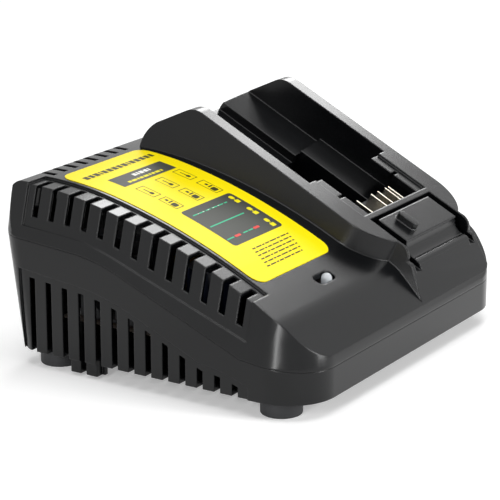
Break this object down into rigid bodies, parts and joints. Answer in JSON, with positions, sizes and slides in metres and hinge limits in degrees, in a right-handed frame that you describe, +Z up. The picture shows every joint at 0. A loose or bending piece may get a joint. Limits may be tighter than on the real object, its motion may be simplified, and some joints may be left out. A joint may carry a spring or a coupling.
{
  "type": "power tool battery charger",
  "caption": "Wedge-shaped bench charger with a sloping slide-in battery bay between two raised rails, side vents, a lamp, a spring latch tab and rubber feet.",
  "frame": {"origin": "on the ground under the middle of the charger's bounding box", "axes": "+Z up, -Y towards the low front end with the lamp, +X towards the battery bay"},
  "size_m": [0.1844, 0.1628, 0.1042],
  "materials": {
    "upper_housing": "fine satin black ABS",
    "lower_housing": "fine satin black ABS",
    "label": "satin printed vinyl",
    "latch_tab": "fine satin black ABS",
    "led_lamp": "clear moulded epoxy",
    "rubber_foot": "dull moulded rubber",
    "terminal_blade": "bright nickel plate",
    "terminal_block": "dark moulded nylon",
    "circuit_board": "green solder mask",
    "steel_screw": "zinc plated",
    "ferrite": "grey ferrite",
    "copper_winding": "taped copper winding",
    "capacitor_can": "sleeved aluminium can",
    "choke": "enamelled winding",
    "film_capacitor": "moulded box",
    "moulded_package": "moulded epoxy",
    "aluminium_sink": "plain extruded",
    "white_nylon": "natural nylon",
    "black_nylon": "moulded nylon",
    "tinned_lead": "tinned copper"
  },
  "bodies": {
    "housing": {"board_screws": "steel_screw", "bridge_rectifier": "moulded_package", "bulk_capacitor": "capacitor_can", "control_board": "circuit_board", "cord_gland": "black_nylon", "fan_frame": "black_nylon", "front_left_foot": "rubber_foot", "front_right_foot": "rubber_foot", "fuse": "white_nylon", "housing_screws": "steel_screw", "label": "label", "led_board": "circuit_board", "led_board_bracket": "white_nylon", "led_lamp": "led_lamp", "line_choke": "choke", "line_filter_capacitor": "film_capacitor", "lower_housing": "lower_housing", "main_circuit_board": "circuit_board", "mains_terminal": "white_nylon", "output_capacitor_1": "capacitor_can", "output_capacitor_2": "capacitor_can", "output_device_legs": "tinned_lead", "output_rectifier": "moulded_package", "primary_heat_sink": "aluminium_sink", "rear_left_foot": "rubber_foot", "rear_right_foot": "rubber_foot", "secondary_heat_sink": "aluminium_sink", "switching_device_legs": "tinned_lead", "switching_transistor": "moulded_package", "terminal_blade_1": "terminal_blade", "terminal_blade_2": "terminal_blade", "terminal_blade_3": "terminal_blade", "terminal_blade_4": "terminal_blade", "terminal_blade_5": "terminal_blade", "terminal_block": "terminal_block", "transformer_core": "ferrite", "transformer_winding": "copper_winding", "upper_housing": "upper_housing"},
    "tab": {"latch_tab": "latch_tab"},
    "rotor": {"fan_rotor": "black_nylon"}
  },
  "joints": [
    {"name": "tab_press", "type": "hinge", "parent": "housing", "child": "tab", "pos_m": [0.04545, -0.06893, 0.04168], "axis": [-1, 0, 0], "range_deg": [0, 3], "stiffness_Nm_per_rad": 1.5, "springref_deg": -1.15},
    {"name": "fan_spin", "type": "hinge", "parent": "housing", "child": "rotor", "pos_m": [-0.073, 0.026, 0.0436], "axis": [1, 0, 0], "continuous": true}
  ]
}
